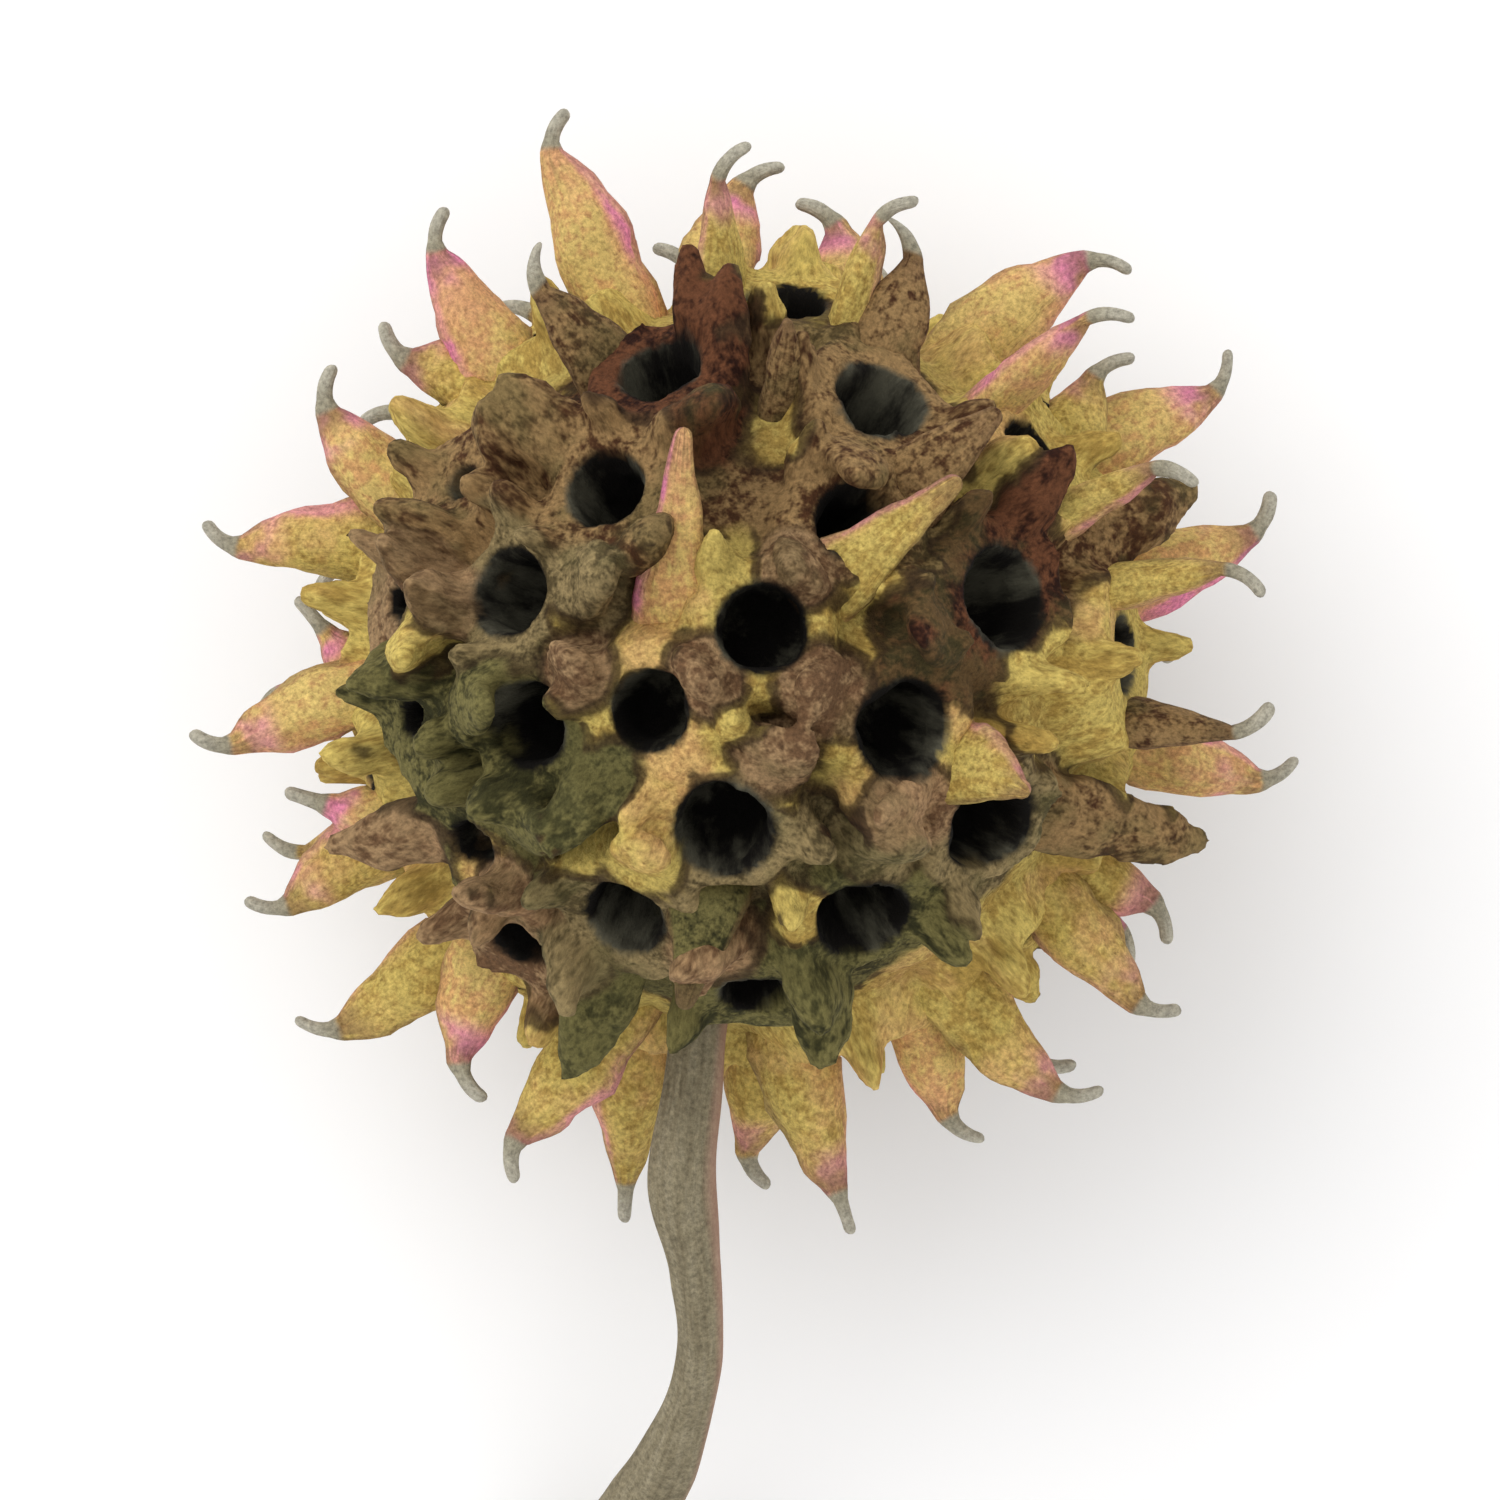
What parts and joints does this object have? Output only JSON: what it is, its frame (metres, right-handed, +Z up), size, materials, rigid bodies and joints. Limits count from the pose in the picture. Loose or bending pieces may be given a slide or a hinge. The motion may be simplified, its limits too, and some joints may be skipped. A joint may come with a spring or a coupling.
{
  "type": "sweetgum seed ball",
  "caption": "Dried round woody seed ball lying on a surface: hooked beaks stand in pairs round dark open mouths on every side, on a curved stalk.",
  "frame": {"origin": "on the surface that the ball lies on, under the middle of the box round head and stalk", "axes": "+Z up from the surface, -Y from the head towards the stalk's end, +X to the right of the head seen from above with the stalk pointing down"},
  "size_m": [0.0391, 0.0566, 0.0335],
  "materials": {
    "seed_head": "dry and matt: ochre yellow beaks with a rosy edge, brown and olive walls round near-black mouths, grey hooks",
    "stalk": "dry and matt grey-brown with fine lengthwise fibres"
  },
  "bodies": {
    "root": {"seed_head": "seed_head", "stalk": "stalk"}
  },
  "joints": []
}
